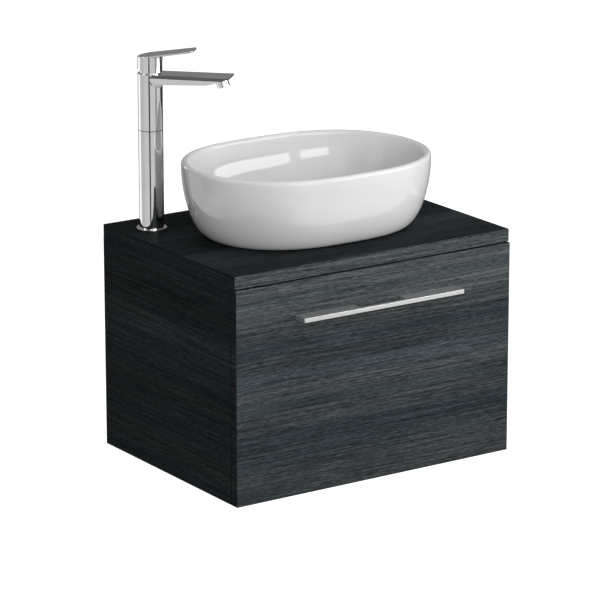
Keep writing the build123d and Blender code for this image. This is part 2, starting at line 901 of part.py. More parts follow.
def make_spout():
    """The spout's side view and its bowed section, each drawn out, where they meet."""
    top = tap_height
    points = [
        (0, top),
        (spout_reach, top),
        (spout_reach, top - spout_tip),
        (spout_knee, top - spout_knee_height),
        (0, top - spout_root),
    ]
    spout = side_slab(points, spout_width) & extrude(Plane.YZ * bowed_section(), spout_reach)
    knee = [e for e in spout.edges() if abs(e.center().X - spout_knee) < slip]
    return fillet(knee, spout_knee_round)


def on_column(edge):
    """Whether an edge is where the spout leaves the column."""
    place = edge.center()
    reach = math.hypot(place.X, place.Y)
    in_height = seam_height < place.Z < tap_height
    return in_height and abs(reach - tap_radius) < slip < abs(place.Y)


aerator_tilt = math.degrees(
    math.atan2(spout_knee_height - spout_tip, spout_reach - spout_knee)
)
aerator_face = tap_height - spout_tip - (spout_reach - aerator_reach) * math.tan(
    math.radians(aerator_tilt)
)


def at_aerator(shape):
    """From an upright axis, with the outlet below, to the spout's slanted underside."""
    return Pos(aerator_reach, 0, aerator_face) * Rot(0, -aerator_tilt, 0) * shape


def make_tap():
    base = tube(flange_radius, flange_bore_radius, 0, flange_height)
    base = fillet(base.edges().group_by(Axis.Z)[-1].sort_by(SortBy.LENGTH)[-1], edge_round)

    bore = tap_radius - column_wall
    column = rod(tap_radius, column_base, seam_height)
    column = chamfer(column.edges().group_by(Axis.Z)[-1], seam_groove)
    web_top = column_base + column_web
    column -= rod(bore, web_top, seam_height)
    web_side = stud_x + stud_radius + column_wall
    column -= rod(bore, column_base, web_top) & block(
        web_side, tap_radius, -tap_radius, tap_radius, column_base, web_top
    )
    column -= Pos(stud_x, 0, 0) * rod(stud_radius + slip, column_base, web_top)

    body = rod(tap_radius, seam_height, tap_height)
    body = chamfer(body.edges().group_by(Axis.Z)[0], seam_groove)
    body += make_spout()
    root = [e for e in body.edges() if on_column(e)]
    body = fillet(root, spout_root_round)
    body = fillet(body.edges().group_by(Axis.Z)[-1], spout_edge_round)
    body += rod(bore - slip, seam_height - spigot_length, seam_height)
    cavity_radius = cartridge_radius + cartridge_room
    body -= rod(cavity_radius, cavity_floor, tap_height)
    inlet_z = seam_height - spigot_length
    for way in (-1, 1):
        body -= Pos(inlet_x, way * inlet_y, 0) * rod(inlet_radius, inlet_z, inlet_z + inlet_depth)
        body -= Pos(inlet_x, way * inlet_y, 0) * rod(waterway_radius, inlet_z, cavity_floor)
    bore_z = tap_height - spout_knee_height / 2
    body -= rod_x(spout_bore_radius, cartridge_radius, aerator_reach, 0, bore_z)
    body -= at_aerator(rod(aerator_radius - aerator_wall / 2 + slip, -aerator_stand, aerator_depth))

    housing = tube(aerator_radius, aerator_radius - aerator_wall, -aerator_stand, 0)
    neck = aerator_radius - aerator_wall / 2
    housing += tube(neck, aerator_radius - aerator_wall, 0, aerator_depth - slip)
    mesh_radius = aerator_radius - aerator_wall - slip
    mesh = rod(mesh_radius, edge_round - aerator_stand, aerator_depth - slip)
    pitch = 2 * mesh_radius / (aerator_ribs + 1)
    for i in range(1, aerator_ribs + 1):
        x = i * pitch - mesh_radius
        slot = block(
            x - pitch / 4, x + pitch / 4, -mesh_radius, mesh_radius, -aerator_stand, -aerator_stand / 2
        )
        mesh -= slot & rod(mesh_radius - aerator_wall / 2, -aerator_stand, 0)

    nut_z = tap_height - cartridge_nut_height
    nut = tube(cavity_radius - slip, cartridge_nut_bore, nut_z, tap_height)
    rotor_bottom = pivot_z - rotor_below
    case = rod(cartridge_radius, cavity_floor, nut_z)
    case += rod(cartridge_neck_radius, nut_z, tap_height)
    case -= rod(rotor_radius + rotor_gap, rotor_bottom - rotor_gap, tap_height)

    rotor_top = pivot_z + rotor_above
    rotor = rod(rotor_radius, rotor_bottom, rotor_top)
    slot_half = spindle_width / 2 + rotor_gap
    spindle_bottom = pivot_z - spindle_below
    slot_floor = pivot_z - math.hypot(spindle_below, spindle_width / 2) - rotor_gap
    rotor -= block(-rotor_radius, rotor_radius, -slot_half, slot_half, slot_floor, rotor_top)
    rotor -= rod_y(pivot_pin_radius + slip, -rotor_radius, rotor_radius, 0, pivot_z)

    half = spindle_width / 2
    spindle = block(-half, half, -half, half, spindle_bottom, pivot_z + spindle_above)
    pin_end = rotor_radius - spindle_width / 8
    spindle += rod_y(pivot_pin_radius, -pin_end, pin_end, 0, pivot_z)

    ball = Pos(0, 0, pivot_z) * Sphere(dome_radius) - Pos(0, 0, pivot_z) * Sphere(dome_radius - dome_wall)
    dome = ball & rod(dome_radius, tap_height, pivot_z + dome_radius)
    dome -= rod(dome_mouth_radius, pivot_z, pivot_z + dome_radius)
    shapes = {
        "tap_base_flange": base,
        "tap_column": column,
        "tap_body": body,
        "aerator_housing": at_aerator(housing),
        "aerator_insert": at_aerator(mesh),
        "cartridge_nut": nut,
        "cartridge_case": case,
        "cartridge_rotor": rotor,
        "cartridge_spindle": spindle,
        "tap_dome": dome,
    }
    return {name: at_tap(shape) for name, shape in shapes.items()}


def make_lever():
    low = tap_height + lever_gap
    axis_top = tap_height + lever_axis_height
    slope = math.radians(lever_slope)
    rise = math.tan(slope)
    length = lever_reach / math.cos(slope)
    plan = [
        (0, -lever_radius),
        (length, -lever_tip_width / 2),
        (length, lever_tip_width / 2),
        (0, lever_radius),
    ]
    outline = make_face(Polyline(*plan, close=True))
    outline = fillet(outline.vertices().group_by(Axis.X)[-1], lever_tip_round)
    outline += Ellipse(lever_radius / math.cos(slope), lever_radius)
    blade = Pos(0, 0, -lever_thickness) * extrude(outline, lever_thickness)
    blade = fillet(blade.edges().group_by(Axis.Z)[-1], lever_edge_round)
    under = [e for e in blade.edges().group_by(Axis.Z)[0] if e.center().X > lever_radius]
    blade = fillet(under, lever_under_round)
    blade = Pos(0, 0, axis_top) * Rot(0, -lever_slope, 0) * blade
    wide = 2 * lever_reach
    mid_blade = axis_top - lever_thickness / 2
    under_blade = [
        (-wide, low),
        (wide, low),
        (wide, mid_blade + wide * rise),
        (-wide, mid_blade - wide * rise),
    ]
    hub = rod(lever_radius, low, axis_top + lever_radius * rise) & side_slab(under_blade, wide)
    lever = hub + blade
    ceiling = tap_height + lever_ceiling
    lever -= rod(lever_radius - lever_wall, low, ceiling)
    heel = [(0, low), (-wide, low), (-wide, low + lever_heel_rise * wide / lever_radius)]
    lever -= side_slab(heel, wide)
    half = spindle_width / 2 + slip
    lever -= block(-half, half, -half, half, ceiling, pivot_z + spindle_above + slip)
    index_z = tap_height + index_height
    plug_start = lever_radius - index_depth
    lever -= rod_x(index_radius + slip, plug_start, lever_radius + index_depth, 0, index_z)
    lever -= rod_x(grub_radius + slip, half, plug_start, 0, index_z)
    grub = rod_x(grub_radius, half, half + grub_length, 0, index_z)
    plug = rod_x(index_radius, plug_start, lever_radius + index_proud, 0, index_z)
    plug = fillet(plug.edges().group_by(Axis.X)[-1], index_proud / 2)
    shapes = {"lever": lever, "lever_grub_screw": grub, "lever_index_plug": plug}
    return {name: at_tap(shape) for name, shape in shapes.items()}


def make_tap_fixing():
    rubber_z = -worktop_thickness - clamp_rubber
    plate_z = rubber_z - clamp_plate
    stud_top = column_base + stud_in_web
    stud = Pos(stud_x, 0, 0) * rod(stud_radius, stud_top - stud_length, stud_top)
    nut = extrude(RegularPolygon(stud_nut_across / 2, 6, major_radius=False), stud_nut_height)
    nut = Pos(stud_x, 0, plate_z - stud_nut_height) * nut
    nut -= Pos(stud_x, 0, 0) * rod(stud_radius + slip, plate_z - stud_nut_height, plate_z)

    def horseshoe(z0, z1):
        plate = rod(clamp_radius, z0, z1)
        half = clamp_slot / 2
        plate -= block(clamp_slot_start, clamp_radius, -half, half, z0, z1)
        return plate - Pos(stud_x, 0, 0) * rod(stud_radius + slip, z0, z1)

    shapes = {
        "tap_stud": stud,
        "tap_stud_nut": nut,
        "tap_rubber_washer": horseshoe(rubber_z, -worktop_thickness),
        "tap_clamp_plate": horseshoe(plate_z, rubber_z),
    }
    return {name: at_tap(shape) for name, shape in shapes.items()}


pieces = {}
pieces.update(make_cabinet())
pieces.update(make_runners())
pieces.update(make_hangers())
pieces.update(make_drawer())
pieces.update(make_handle())
pieces.update(make_basin())
pieces.update(make_waste())
pieces.update(make_trap())
pieces.update(make_tap())
pieces.update(make_lever())
pieces.update(make_tap_fixing())

os.makedirs("parts", exist_ok=True)
for name, shape in pieces.items():
    export_step(Pos(0, 0, -origin_z) * shape, f"parts/{name}.step")
    print(name, len(shape.solids()), round(shape.volume))
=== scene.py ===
# %% [markdown]
# # A wall-hung vanity with a vessel basin
# The packed CAD model comes in first, as a frame that never moves. Everything after it is looks: a finish for each
# board, metal, glaze and plastic, and a basin that is modelled again because its gloss shows every facet.

# %% Load the packed vanity
import math

import bpy
from mathutils import Matrix, Vector


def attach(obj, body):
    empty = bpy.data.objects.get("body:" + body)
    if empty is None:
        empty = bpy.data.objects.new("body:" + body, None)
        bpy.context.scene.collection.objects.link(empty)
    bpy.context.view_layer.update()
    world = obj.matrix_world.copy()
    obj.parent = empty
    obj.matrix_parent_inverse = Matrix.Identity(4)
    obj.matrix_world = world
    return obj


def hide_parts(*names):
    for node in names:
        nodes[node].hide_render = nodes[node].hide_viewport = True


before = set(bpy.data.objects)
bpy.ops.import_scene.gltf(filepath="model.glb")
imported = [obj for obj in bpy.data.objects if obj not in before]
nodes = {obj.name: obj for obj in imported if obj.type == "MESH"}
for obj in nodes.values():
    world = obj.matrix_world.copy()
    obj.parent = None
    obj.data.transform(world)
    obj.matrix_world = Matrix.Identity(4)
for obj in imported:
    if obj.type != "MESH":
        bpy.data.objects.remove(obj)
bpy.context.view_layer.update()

bpy.ops.object.select_all(action="DESELECT")

# %% [markdown]
# ## A socket that does sums
# A finish is mostly arithmetic on noise. Its Math nodes could be added and wired one by one, but then the sum is hard
# to read. Wrapping a socket in a small class lets the sum be written as plain Python: each operator adds its node.


# %% Socket
class Value:
    """A socket that can be added, subtracted, multiplied and compared like a number."""

    def __init__(self, finish, socket):
        self.finish = finish
        self.socket = socket

    def sum(self, operation, first, second):
        return self.finish.node("ShaderNodeMath", {"operation": operation}, {0: first, 1: second})

    def __add__(self, other):
        return self.sum("ADD", self, other)

    def __radd__(self, other):
        return self.sum("ADD", other, self)

    def __sub__(self, other):
        return self.sum("SUBTRACT", self, other)

    def __rsub__(self, other):
        return self.sum("SUBTRACT", other, self)

    def __mul__(self, other):
        return self.sum("MULTIPLY", self, other)

    def __rmul__(self, other):
        return self.sum("MULTIPLY", other, self)

    def __gt__(self, other):
        return self.sum("GREATER_THAN", self, other)

    def __abs__(self):
        return self.sum("ABSOLUTE", self, 0.0)


print("a socket now adds, subtracts, multiplies and compares")

# %% [markdown]
# ## A finish
# Each finish is one material with one Principled shader. The method called node makes any node from its type, its
# settings and its inputs, and the short methods after it name the few things that finishes here are made of: noise,
# noise drawn out into grain, a pair of tones, a range, a mix and a bump. Noise stays mostly between 0.3 and 0.7, so
# that is the range that spread turns into another one.

# %% Finish
noise_low, noise_middle, noise_high = 0.3, 0.5, 0.7


class Finish:
    """One material or world, with its shader and a method that adds any node."""

    def __init__(self, name, owner=None, **sockets):
        self.material = owner or bpy.data.materials.new(name)
        self.material.use_nodes = True
        self.tree = self.material.node_tree
        self.shader = next(n for n in self.tree.nodes if n.type in ("BSDF_PRINCIPLED", "BACKGROUND"))
        for socket, value in sockets.items():
            self.shader.inputs[socket.replace("_", " ")].default_value = value

    def node(self, kind, settings=None, inputs=None, output=0):
        made = self.tree.nodes.new(kind)
        for key, value in (settings or {}).items():
            if key == "stops":
                ramp = made.color_ramp.elements
                while len(ramp) < len(value):
                    ramp.new(0.5)
                for element, (place, colour) in zip(ramp, value):
                    element.position = place
                    element.color = (*colour, 1.0)
            else:
                setattr(made, key, value)
        for key, value in (inputs or {}).items():
            if isinstance(value, Value):
                self.tree.links.new(value.socket, made.inputs[key])
            else:
                made.inputs[key].default_value = value
        return Value(self, made.outputs[output])

    def place(self):
        """Where a point is on the piece, in metres."""
        return self.node("ShaderNodeTexCoord", output="Object")

    def noise(self, vector, scale, detail=2.0, roughness=0.5):
        inputs = {"Vector": vector, "Scale": scale, "Detail": detail, "Roughness": roughness}
        return self.node("ShaderNodeTexNoise", {}, inputs)

    def grain(self, vector, scale, detail=2.0, roughness=0.5):
        """Noise with its own scale along each axis: a small one draws it out."""
        stretched = self.node("ShaderNodeMapping", {}, {"Vector": vector, "Scale": scale})
        return self.noise(stretched, 1.0, detail, roughness)

    def ramp(self, value, *stops):
        return self.node("ShaderNodeValToRGB", {"stops": stops}, {"Fac": value})

    def tones(self, value, dark, pale, reach=0.2):
        """Dark to pale, over the reach on both sides of the middle of the noise."""
        return self.ramp(value, (noise_middle - reach, dark), (noise_middle + reach, pale))

    def between(self, value, low, high, new_low=0.0, new_high=1.0):
        limits = {"From Min": low, "From Max": high, "To Min": new_low, "To Max": new_high}
        return self.node("ShaderNodeMapRange", {}, {"Value": value, **limits})

    def spread(self, noise, low, high):
        return self.between(noise, noise_low, noise_high, low, high)

    def mix(self, factor, first, second, blend="MIX"):
        settings = {"data_type": "RGBA", "blend_type": blend}
        return self.node("ShaderNodeMix", settings, {0: factor, 6: first, 7: second}, output=2)

    def axes(self, vector):
        return [self.node("ShaderNodeSeparateXYZ", {}, {0: vector}, output=i) for i in range(3)]

    def vector(self, x, y, z):
        return self.node("ShaderNodeCombineXYZ", {}, {0: x, 1: y, 2: z})

    def bump(self, height, strength, depth=0.0002):
        relief = {"Strength": strength, "Distance": depth, "Height": height}
        self.feed("Normal", self.node("ShaderNodeBump", {}, relief))

    def feed(self, socket, value):
        self.tree.links.new(value.socket, self.shader.inputs[socket])

    def on(self, *names):
        for name in names:
            slots = nodes[name].data.materials
            slots.clear()
            slots.append(self.material)
        print(self.material.name, "on", len(names), "pieces")


print("finish methods:", ", ".join(name for name in vars(Finish) if not name.startswith("__")))

# %% [markdown]
# ## Camera
# The photo was taken with a long lens, from the left and a little above. A camera can be aimed at the middle and moved
# until it looks right, but this one was fitted to the cabinet's corners, so that the render can be laid over the
# photo. The fit gives its place, its right and its up, and those three make its matrix.

# %% Camera
camera_place = Vector((-3.5816, -5.5443, 1.7510))
camera_right = Vector((0.8303, -0.5573, -0.0009)).normalized()
camera_up = Vector((0.1519, 0.2249, 0.9625)).normalized()
camera_back = camera_right.cross(camera_up)
camera_data = bpy.data.cameras.new("camera")
camera_data.lens = 215.85
camera_data.sensor_width = 36.0
camera_data.clip_end = 60.0
camera = bpy.data.objects.new("camera", camera_data)
bpy.context.scene.collection.objects.link(camera)
camera.matrix_world = Matrix((camera_right, camera_up, camera_back)).transposed().to_4x4()
camera.location = camera_place
bpy.context.scene.camera = camera
bpy.context.scene.view_settings.view_transform = "Standard"
print("camera at", tuple(round(v, 3) for v in camera.location))

# %% [markdown]
# ## Laminate: the print's bands and painted shade
# The boards carry a printed wood: dark charcoal, with broad paler and darker bands under its fine lines. The lists
# hold painted light as well: the ends and the top are set far darker than the front as painted shade, and the front
# grows brighter towards the top as painted light. So the front, the ends and the top each have their own list: how
# far along the board a band is, in millimetres, and how bright. The front and the ends count from the cabinet's foot,
# the top from the wall. A painted picture could hold the bands too, but a colour ramp needs no file, and a band is
# changed by one number.

# %% Bands
cabinet_foot, worktop_top = -0.342, 0.0835
worktop_depth = 0.447
# Painted light in these lists: the ends and the top are far darker than the front, and the front is brighter towards
# the top.
front_print_and_painted_light = [
    (0, 0.90), (68, 1.0), (98, 0.86), (168, 1.05), (198, 1.2), (228, 1.35),
    (243, 0.97), (318, 1.0), (333, 1.45), (398, 1.45), (425, 1.35),
]
end_print_and_painted_shade = [
    (0, 0.42), (60, 0.48), (150, 0.42), (215, 0.46), (250, 0.57),
    (278, 0.70), (300, 0.44), (338, 0.36), (398, 0.46),
]
top_print_and_painted_shade = [
    (0, 0.28), (80, 0.28), (120, 0.38), (152, 0.60), (190, 0.39),
    (270, 0.36), (295, 0.70), (330, 0.60), (370, 0.49), (435, 0.42),
]


def bands(finish, along, start, end, levels):
    """The bands between two places on a board, as one grey ramp."""
    span = 1000 * abs(end - start)
    stops = [(mm / span, [level] * 3) for mm, level in levels]
    return finish.ramp(finish.between(along, start, end), *stops)


print(len(front_print_and_painted_light), "bands on the front,", len(end_print_and_painted_shade), "on the ends,", len(top_print_and_painted_shade), "on the top")

# %% [markdown]
# ## Laminate: the print's lines
# Noise that is drawn out along the grain gives fine streaks. Three sizes of it are added up, because a single one
# looks like brushed metal. One slow noise bends the lines a little, and another shifts them between slate and brown.
# On the cabinet's ends the grain runs front to back, so there X and Y change places. Edges that lie behind the
# drawer's front are darkened, because hardly any light gets into the gap there.

# %% Laminate finish
line_levels = [(-0.12, 0.36), (-0.03, 0.78), (0.045, 1.18), (0.14, 2.0)]
line_wander = 0.012
mostly = 0.5
gap_front, gap_back, gap_shade = -0.4455, -0.4405, 0.3


def laminate(name, slate, brown):
    finish = Finish(name, Specular_IOR_Level=0.004)
    place = finish.place()
    facing_x, _, facing_z = finish.axes(finish.node("ShaderNodeTexCoord", output="Normal"))
    on_end, on_top = abs(facing_x) > mostly, facing_z > mostly
    x, y, z = finish.axes(place)
    board_place = finish.mix(on_end, place, finish.vector(y, x, z))
    wander = (finish.grain(board_place, (2.0, 5.0, 5.0), 1.0) - noise_middle) * line_wander
    along, across, up = finish.axes(board_place)
    print_place = finish.vector(along, across + wander, up + wander)
    streaks = finish.grain(print_place, (4.5, 330.0, 330.0), 2.0, 0.6)
    fibres = finish.grain(print_place, (70.0, 620.0, 620.0), 2.0, 0.6)
    slow = finish.grain(print_place, (0.6, 30.0, 30.0))
    shade = slow * 0.10 + streaks * 0.45 + fibres * 0.45
    lines = finish.ramp(shade, *[(noise_middle + step, [level] * 3) for step, level in line_levels])
    in_gap = finish.between(y, gap_front, gap_back, 1.0, gap_shade)
    # Painted shade: the band lists make the ends and the top darker than the front, and the front brighter towards the
    # top.
    on_front = bands(finish, z, cabinet_foot, worktop_top, front_print_and_painted_light) * in_gap
    on_side = bands(finish, z, cabinet_foot, worktop_top, end_print_and_painted_shade)
    from_above = bands(finish, y, 0.0, -worktop_depth, top_print_and_painted_shade)
    tone = finish.mix(on_top, finish.mix(on_end, on_front, on_side), from_above)
    tint = finish.mix(finish.between(slow, 0.4, 0.6), (*slate, 1.0), (*brown, 1.0))
    finish.feed("Base Color", finish.mix(1.0, tint, lines * tone, "MULTIPLY"))
    finish.feed("Roughness", finish.spread(fibres, 0.42, 0.56))
    finish.bump(fibres + streaks, 0.2)
    return finish


charcoal = laminate("charcoal_laminate", (0.041, 0.0525, 0.059), (0.0475, 0.053, 0.0545))
charcoal.on("worktop", "drawer_front", "left_side_panel", "right_side_panel")

# %% [markdown]
# ## Chrome
# The tap and the waste are chromed. Chrome is a mirror, so what makes it look right is what stands around it. Its own
# detail is small: faint wiping marks that change how sharp the mirror is. The groove where the tap's column meets its
# body is half a millimetre deep, and its two small chamfers mirror something bright there, so the finish darkens the
# chrome there by its height: painted shade in the groove, which also hides that glint.

# %% Chrome finish
tap_seam = 0.2715
groove_half, groove_end, groove_shade = 0.0005, 0.0008, 0.1


def chrome():
    finish = Finish("polished_chrome", Metallic=1.0)
    place = finish.place()
    wiped = finish.grain(place, (40.0, 40.0, 9.0))
    polish = finish.tones(finish.noise(place, 30.0, 3.0), (0.80, 0.80, 0.81), (0.86, 0.86, 0.865))
    # Painted shade: the chrome's colour is darkened in the groove at the tap's seam.
    from_seam = abs(finish.axes(place)[2] - tap_seam)
    off_seam = finish.between(from_seam, groove_half, groove_end, groove_shade, 1.0)
    finish.feed("Base Color", finish.mix(1.0, polish, off_seam, "MULTIPLY"))
    finish.feed("Roughness", finish.spread(wiped, 0.035, 0.075))
    return finish


chrome_finish = chrome()
chrome_finish.on(
    "tap_base_flange", "tap_column", "tap_body", "tap_dome", "lever", "aerator_housing",
    "waste_body", "waste_plug",
)

# %% [markdown]
# ## Satin handle
# The handle is aluminium, brushed along its length. Anisotropic gloss could show that, but it isn't used here.
# Anisotropic gloss could show that, but the export doesn't bake it. Hair-fine noise along the bar does it instead,
# in the colour, the gloss and the bump.


# %% Satin finish
def satin():
    finish = Finish("satin_handle", Metallic=0.85)
    lines = finish.grain(finish.place(), (6.0, 1400.0, 1400.0), 2.0, 0.7)
    finish.feed("Base Color", finish.tones(lines, (0.72, 0.72, 0.72), (0.88, 0.88, 0.88)))
    finish.feed("Roughness", finish.spread(lines, 0.26, 0.38))
    finish.bump(lines, 0.12)
    return finish


satin_finish = satin()
satin_finish.on("handle")

# %% [markdown]
# ## Zinc and brass
# Runners, screws, brackets and the tap's fixing are zinc-plated steel. Two nuts and the cartridge's spindle are bare
# brass. One grey would do at a distance, but plating is dull and has small cloudy crystals: Voronoi cells give the
# crystals, and noise breaks them up.


# %% Plated finishes
def plated(name, dark, pale, low, high):
    finish = Finish(name, Metallic=1.0)
    place = finish.place()
    cells = {"Vector": place, "Scale": 160.0}
    crystals = finish.node("ShaderNodeTexVoronoi", {}, cells, output="Color")
    patch = finish.node("ShaderNodeSeparateColor", {}, {0: crystals})
    dull = finish.noise(place, 70.0, 3.0)
    finish.feed("Base Color", finish.tones(patch * 0.35 + dull * 0.65, dark, pale, 0.25))
    finish.feed("Roughness", finish.spread(dull, low, high))
    return finish


zinc = plated("zinc_steel", (0.42, 0.43, 0.45), (0.62, 0.63, 0.65), 0.28, 0.45)
zinc.on(
    "left_cabinet_runner", "right_cabinet_runner", "left_middle_runner", "right_middle_runner",
    "left_drawer_runner", "right_drawer_runner", "cabinet_runner_screws", "drawer_runner_screws",
    "handle_screws", "wall_plates", "hanger_hooks", "tap_stud", "tap_stud_nut", "tap_clamp_plate",
    "lever_grub_screw",
)
brass = plated("bare_brass", (0.50, 0.36, 0.16), (0.74, 0.56, 0.28), 0.22, 0.38)
brass.on("waste_nut", "cartridge_nut", "cartridge_spindle")

# %% [markdown]
# ## Plastics and rubber
# Most of these are hidden until the drawer is opened or the vanity is seen from behind, but a flat colour would look
# wrong even there. Moulded plastic has a fine spark-eroded texture and rubber a dusty bloom. Both are two noises, a
# broad one for the colour and a fine one for the gloss and the bump, so one function makes them all.

# %% Moulded finishes
gloss_reach = 0.07


def moulded(name, dark, pale, roughness, texture_scale):
    finish = Finish(name, Specular_IOR_Level=0.4)
    place = finish.place()
    texture = finish.noise(place, texture_scale)
    finish.feed("Base Color", finish.tones(finish.noise(place, 18.0, 3.0), dark, pale))
    finish.feed("Roughness", finish.spread(texture, roughness - gloss_reach, roughness + gloss_reach))
    finish.bump(texture, 0.12)
    return finish


white_plastic = moulded("white_plastic", (0.74, 0.74, 0.73), (0.80, 0.80, 0.79), 0.36, 700.0)
white_plastic.on(
    "cabinet_hangers", "trap_surround", "trap_inlet_nut", "trap_dip_tube", "trap_top_nut", "trap_body",
    "trap_cup", "trap_outlet_nut", "trap_outlet_pipe",
)
grey_plastic = moulded("grey_plastic", (0.27, 0.28, 0.30), (0.35, 0.36, 0.38), 0.4, 900.0)
grey_plastic.on("cartridge_case", "cartridge_rotor", "aerator_insert", "plug_guide", "lever_index_plug")
rubber = moulded("black_rubber", (0.018, 0.018, 0.019), (0.045, 0.045, 0.047), 0.7, 1100.0)
rubber.on("front_buffers", "waste_flange_seal", "waste_plug_seal", "tap_rubber_washer")

# %% [markdown]
# ## Inner boards and dowels
# The drawer's box, the cabinet's bottom and its rails are faced with a pale grey melamine that has a faint grain, and
# the dowels are beech. A coarse noise, drawn out into lines on the boards, and a fine one for the pores make both, so
# again one function does.


# %% Board finishes
def board(name, dark, pale, line_scale):
    finish = Finish(name, Specular_IOR_Level=0.3)
    place = finish.place()
    lines = finish.grain(place, line_scale, 3.0, 0.6)
    pores = finish.noise(place, 900.0)
    finish.feed("Base Color", finish.tones(lines * 0.75 + pores * 0.25, dark, pale, 0.18))
    finish.feed("Roughness", finish.spread(pores, 0.42, 0.56))
    finish.bump(lines + pores, 0.1)
    return finish


inner_board = board("inner_board", (0.46, 0.46, 0.45), (0.58, 0.58, 0.57), (4.0, 90.0, 90.0))
inner_board.on(
    "bottom_panel", "upper_back_rail", "lower_back_rail", "drawer_left_side", "drawer_right_side",
    "drawer_left_back", "drawer_right_back", "drawer_base",
)
dowel_wood = board("dowel_wood", (0.50, 0.35, 0.20), (0.68, 0.52, 0.33), (90.0, 90.0, 90.0))
dowel_wood.on("carcass_dowels", "drawer_dowels")

# %% [markdown]
# ## Basin: its curves
# The basin is slip-cast and glazed, so it has no sharp edge, and its gloss shows the smallest facet. It could keep its
# CAD mesh, but an even grid that is subdivided once is smoother. The grid is a stack of rings, and every ring is the
# same oval, only drawn in and lifted. The oval is a superellipse, whose powers give flat long sides and round ends,
# and its edge is found by halving. The wall follows a curve of the same family, level at the foot and upright at the
# rim.

# %% Basin curves
basin_middle = Vector((-0.0045, -0.2337))
basin_base = worktop_top
basin_length, basin_width, basin_height = 0.239, 0.180, 0.1381
length_power, width_power, wall_power = 2.83, 1.98, 1.9
halvings = 60


def oval_reach(angle):
    """How far the oval's edge is from the middle, in one direction."""
    along = abs(math.cos(angle)) / basin_length
    across = abs(math.sin(angle)) / basin_width
    low, high = 0.0, basin_length + basin_width
    for _ in range(halvings):
        middle = (low + high) / 2
        inside = (along * middle) ** length_power + (across * middle) ** width_power < 1
        low, high = (middle, high) if inside else (low, middle)
    return low


def wall_rings(first_inset, last_inset, foot, top, steps):
    """The rings of a wall, each as how far it is drawn in and its height."""
    bend = 2 / wall_power
    angles = [math.pi / 2 * i / steps for i in range(steps + 1)]
    insets = [last_inset + (first_inset - last_inset) * (1 - math.sin(a) ** bend) for a in angles]
    heights = [foot + (top - foot) * (1 - math.cos(a) ** bend) for a in angles]
    return list(zip(insets, heights))


print("basin reaches", round(oval_reach(0.0), 4), "along and", round(oval_reach(math.pi / 2), 4), "across")

# %% [markdown]
# ## Basin: its rings
# The list runs as a finger would: from the recess under the basin out to the foot ring, up the outside, over the
# rolled rim and down into the bowl, then to the dished floor, the seat of the waste and its hole, and back to the
# recess. The first part is oval and the last part round.

# %% Basin rings
rim_thickness, foot_inset, bowl_inset = 0.0145, 0.0481, 0.078
bowl_floor, waste_seat, foot_recess = 0.025, 0.018, 0.005
foot_width, foot_round = 0.024, 0.003
dish_radius, dish_height = 0.060, 0.0215
seat_radius, hole_radius, boss_radius = 0.037, 0.0229, 0.046
wall_steps, rim_steps = 12, 8

rim = rim_thickness / 2
rim_centre = basin_height - rim
under = [(foot_inset + foot_width, foot_recess), (foot_inset + foot_width, 0.0), (foot_inset + foot_round, 0.0)]
outside = wall_rings(foot_inset, 0.0, 0.0, rim_centre, wall_steps)
rim_angles = [math.pi * i / rim_steps for i in range(1, rim_steps)]
over = [(rim - rim * math.cos(a), rim_centre + rim * math.sin(a)) for a in rim_angles]
inside = wall_rings(bowl_inset, rim_thickness, bowl_floor, rim_centre, wall_steps)
oval_rings = under + outside[1:] + over + inside[::-1]
round_rings = [
    (dish_radius, dish_height), (seat_radius, waste_seat), (hole_radius, waste_seat),
    (hole_radius, 0.0), (boss_radius, 0.0), (boss_radius, foot_recess),
]
print("basin rings:", len(oval_rings), "oval,", len(round_rings), "round")

# %% [markdown]
# ## Basin: its wall
# A circle is the start. Its points are moved onto the first oval, and then the selected ring is extruded, lifted and
# scaled about the basin's middle, once for each ring on the list, as a modeller does by hand with the keys E and S.

# %% Basin wall
ring_points = 96
bpy.ops.mesh.primitive_circle_add(vertices=ring_points, radius=1.0, fill_type="NOTHING")
basin = bpy.context.object
basin.name = "basin_glaze"
first_inset, first_height = oval_rings[0]
for point in basin.data.vertices:
    angle = math.atan2(point.co.y, point.co.x)
    reach = oval_reach(angle)
    point.co = (
        basin_middle.x + reach * math.cos(angle) * (basin_length - first_inset) / basin_length,
        basin_middle.y + reach * math.sin(angle) * (basin_width - first_inset) / basin_width,
        basin_base + first_height,
    )
bpy.ops.object.mode_set(mode="EDIT")
bpy.ops.mesh.select_all(action="SELECT")


def scale_ring(x_scale, y_scale, height):
    centre = (basin_middle.x, basin_middle.y, basin_base + height)
    bpy.ops.transform.resize(value=(x_scale, y_scale, 1.0), center_override=centre)


def next_ring(old_height, height, x_scale, y_scale):
    """Extrudes the ring that is selected, lifts it and draws it in or out."""
    bpy.ops.mesh.extrude_edges_move(TRANSFORM_OT_translate={"value": (0, 0, height - old_height)})
    scale_ring(x_scale, y_scale, height)


for (old_inset, old_height), (inset, height) in zip(oval_rings, oval_rings[1:]):
    x_scale = (basin_length - inset) / (basin_length - old_inset)
    y_scale = (basin_width - inset) / (basin_width - old_inset)
    next_ring(old_height, height, x_scale, y_scale)
print("basin wall:", len(oval_rings), "rings of", ring_points, "points")

# %% [markdown]
# ## Basin: its floor
# The bowl is oval and the waste is round, so one ring has to turn from the one into the other. To Sphere does that: it
# moves all points to the same distance from the middle. That distance is then measured, because the operator takes
# the mean, and the ring is scaled to the dish. The rings after it only scale, and the last one is bridged to the first.

